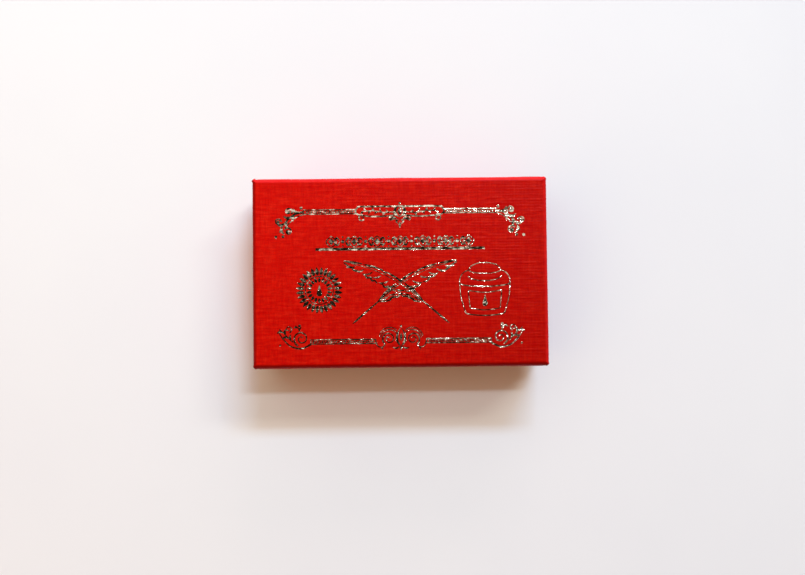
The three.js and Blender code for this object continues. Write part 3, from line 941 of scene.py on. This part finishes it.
LENS = 42                     # mm
SENSOR_WIDTH = 36             # mm
CAMERA_HEIGHT = 319 * MM      # above the lid
CAMERA_ASIDE = -1.8 * MM      # along X from the lid's middle
CAMERA_AHEAD = -16.4 * MM     # and along Y
CAMERA_TILT = (2.0, -0.42, -0.65)    # degrees about X, Y and Z

DAYLIGHT = (0.45, 0.7, 1.0)
COOL_WHITE = (0.75, 0.9, 1.0)
WHITE = (1.0, 1.0, 0.9)
WARM_WHITE = (1.0, 0.8, 0.75)
AMBER = (1.0, 0.6, 0.25)

PALE_WALL = (0.88, 0.89, 0.90)
TAN_WALL = (0.46, 0.38, 0.30)
BROWN_WALL = (0.28, 0.13, 0.06)
CEILING = (0.56, 0.49, 0.39)
DIM_CEILING = (0.075, 0.066, 0.048)

TABLE_SIDE = 4
TABLE_GAP = 0.05 * MM         # between the table and the part


def make_camera():
    """Almost straight above the lid, a little in front of its middle and tilted towards it."""
    data = bpy.data.cameras.new("camera")
    data.lens = LENS
    data.sensor_width = SENSOR_WIDTH
    camera = bpy.data.objects.new("camera", data)
    camera.location = (CAMERA_ASIDE, CAMERA_AHEAD, LID_HIGH.z + CAMERA_HEIGHT)
    camera.rotation_euler = Euler([math.radians(angle) for angle in CAMERA_TILT])
    bpy.context.scene.collection.objects.link(camera)
    bpy.context.scene.camera = camera


def make_light(name, azimuth, elevation, height, size, watts, tint):
    """A panel in metres and watts that faces the box from an azimuth and elevation in degrees.

    Its first side lies along X, so that the shadow of the box's front edge stays crisp.
    """
    data = bpy.data.lights.new(name, "AREA")
    data.shape = "RECTANGLE"
    data.size, data.size_y = size
    data.energy = watts
    data.color = tint
    light = bpy.data.objects.new(name, data)
    reach = height / math.tan(math.radians(elevation))
    turn = math.radians(azimuth)
    light.location = (reach * math.cos(turn), reach * math.sin(turn), height)
    facing = light.location.normalized()
    side = (Vector((1, 0, 0)) - facing.x * facing).normalized()
    light.rotation_euler = Matrix((side, facing.cross(side), facing)).transposed().to_euler()
    bpy.context.scene.collection.objects.link(light)


def make_lights():
    """Daylight from behind on the right, softened by a low sill, and a little light from the room."""
    # name, azimuth, elevation, height, size, watts, tint
    make_light("lamp", 56, 66, 2, (0.45, 0.1), 11, COOL_WHITE)
    make_light("window", 72, 47, 2, (1.1, 0.25), 42, DAYLIGHT)
    make_light("side_window", 45, 43, 2, (0.8, 0.3), 17, WHITE)
    make_light("sill", 75, 22, 1, (1.5, 0.5), 10, WARM_WHITE)
    make_light("fill", 120, 50, 0.33, (0.45, 0.45), 0.55, WHITE)
    make_light("left_wall", 200, 40, 0.4, (0.5, 0.5), 0.7, AMBER)


def make_room():
    """The world: pale walls that turn brown upwards, and a ceiling that is dim on its left."""
    world = bpy.data.worlds.new("room")
    bpy.context.scene.world = world
    world.use_nodes = True
    nodes = Nodes(world.node_tree)
    x, y, z = nodes.split(nodes.add("ShaderNodeTexCoord").outputs["Generated"])
    by_height = nodes.ramp(z, [(0.08, PALE_WALL), (0.24, TAN_WALL), (0.40, BROWN_WALL),
                               (0.86, BROWN_WALL), (0.96, CEILING)])
    overhead = nodes.range(z, 0.0, 1.0, 0.90, 0.965, "SMOOTHSTEP")
    leftwards = nodes.range(nodes.math("MULTIPLY_ADD", y, 0.55, x), 1.0, 0.0, 0.04, 0.15, "SMOOTHSTEP")
    colour = nodes.mix(nodes.math("MULTIPLY", overhead, leftwards), by_height, DIM_CEILING)
    nodes.plug(colour, world.node_tree.nodes["Background"].inputs["Color"])


def make_floor(material):
    half, z = TABLE_SIDE / 2, CAD_BOUNDS[0][2] - TABLE_GAP
    coords = np.array([(-half, -half, z), (half, -half, z), (half, half, z), (-half, half, z)])
    new_object("table", coords, [[0, 1, 2, 3]], material, smooth=False)


# ------------------------------------------------------------------ the box

def lid_relief(pressed):
    """The lid top's height about its mean, flattened and sunk where the foil is stamped."""
    def height(x, y, fade):
        press = pressed(x, y)
        return linen(x, y) * (1 - PRESS_FLATTENS * press) + pillow(x, y) * fade - FOIL_SINK * press
    return height


def stamped_height(x, y):
    """The height of the foil's face."""
    return LID_HIGH.z + pillow(x, y) + FOIL_FOLLOWS * linen(x, y) - FOIL_SINK + FOIL_RISE


def dress_lid(linen_wrap, foil):
    drawings = {}
    for name, draw in MOTIFS.items():
        drawings[name] = [(points + FOIL_SHIFT, half) for points, half in draw()]
    pressed = stamped_area([one for strokes in drawings.values() for one in strokes])
    depth = LID_HIGH.z - LID_LOW.z
    skin = wrap_skin("lid_covering", LID_HIGH, depth, lambda down: LID_HIGH.z - down, lid_relief(pressed),
                     LID_EARS, LID_BULGE, linen_wrap)
    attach(skin, "lid")
    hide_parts("lid_wrap")
    for node, strokes in drawings.items():
        piece = strokes_object("stamped_" + node, strokes, stamped_height, FOIL_THICK, foil)
        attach(piece, "lid")
        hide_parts(node)


def dress_base(linen_wrap):
    depth = BASE_HIGH.z - BASE_LOW.z
    skin = wrap_skin("base_covering", BASE_HIGH, depth, lambda down: BASE_LOW.z + down,
                     lambda x, y, fade: 0 * x, BASE_EARS, 0, linen_wrap)
    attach(skin, "base")
    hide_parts("base_wrap")


def card_shape(low, high, shift, turn):
    """A card with rounded corners and softened edges, lying a little off its place."""
    middle, half = (low + high) / 2, (high - low) / 2
    rows = [(CARD_SOFT, -half.z), (0, CARD_SOFT - half.z), (0, half.z - CARD_SOFT), (CARD_SOFT, half.z)]
    coords = []
    for inset, z in rows:
        for quarter in range(4):
            sx, sy = (1, -1, -1, 1)[quarter], (1, 1, -1, -1)[quarter]
            for step in range(ARC_STEPS + 1):
                angle = (quarter + step / ARC_STEPS) * TAU / 4
                x = sx * (half.x - CARD_CORNER) + (CARD_CORNER - inset) * math.cos(angle)
                y = sy * (half.y - CARD_CORNER) + (CARD_CORNER - inset) * math.sin(angle)
                coords.append((middle.x + shift[0] + x - turn * y, middle.y + shift[1] + y + turn * x,
                               middle.z + z))
    count, top = 4 * (ARC_STEPS + 1), len(rows) - 1
    faces = [list(range(count))[::-1], [top * count + k for k in range(count)]]
    for row in range(top):
        for k in range(count):
            n = (k + 1) % count
            faces.append([row * count + k, row * count + n, (row + 1) * count + n, (row + 1) * count + k])
    return np.array(coords), faces


def card_print():
    """The top card's print: a double frame, writing lines, and the outline of a drop for the ink."""
    drawn = []
    for inset, width in ((0, 0.35), (1.1, 0.15)):
        x, y = 41 - inset, 23 - inset
        corners = [(-x, -y), (x, -y), (x, y), (-x, y)]
        drawn += [stroke([start, end], width) for start, end in zip(corners, corners[1:] + corners[:1])]
    drawn += [stroke([(2, y), (35, y)], 0.15) for y in (11, 4, -3, -10)]
    side = [(0, 14), (3, 8), (7.5, 1.5), (9, -4.5), (6, -10.5), (0, -12.8)]
    outline = [(-20 - x, y) for x, y in side] + [(-20 + x, y) for x, y in side[-2::-1]]
    return drawn + [stroke(outline, 0.35)]


def dress_cards(card_stock, ink):
    rng = np.random.default_rng(8)
    names = sorted(name for name in frame["nodes"] if name.startswith("card_"))
    for node in names:
        low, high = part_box(node)
        shift = np.clip(rng.normal(0, CARD_ASIDE, 2), -CARD_ASIDE_MOST, CARD_ASIDE_MOST)
        turn = np.clip(rng.normal(0, CARD_TURN), -CARD_TURN_MOST, CARD_TURN_MOST)
        coords, faces = card_shape(low, high, shift, turn)
        piece = new_object("loose_" + node, coords, faces, card_stock, sharp_above=35)
        body = "top_card" if node == names[-1] else "deck"
        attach(piece, body)
        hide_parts(node)
    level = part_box(names[-1])[1].z + INK_THICK
    piece = strokes_object("top_card_print", card_print(), lambda x, y: level + 0 * x, INK_THICK, ink)
    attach(piece, "top_card")


def paint_nodes(materials):
    """Gives every CAD node its material, by its slot in the record. Some are replaced later."""
    for row in frame["record"]["subparts"]:
        mesh = frame["nodes"][row["node"]].data
        mesh.materials.clear()
        mesh.materials.append(materials[row["material_slot"]])


bpy.context.scene.view_settings.view_transform = "Standard"
make_camera()
make_lights()
make_room()
make_floor(floor_material())
MATERIALS = {
    "linen_wrap": linen_wrap_material(),
    "greyboard": greyboard_material(),
    "liner_paper": liner_material(),
    "stay_tape": stay_material(),
    "silver_foil": foil_material(),
    "card_stock": card_material(),
}
paint_nodes(MATERIALS)
dress_lid(MATERIALS["linen_wrap"], MATERIALS["silver_foil"])
dress_base(MATERIALS["linen_wrap"])
dress_cards(MATERIALS["card_stock"], ink_material())
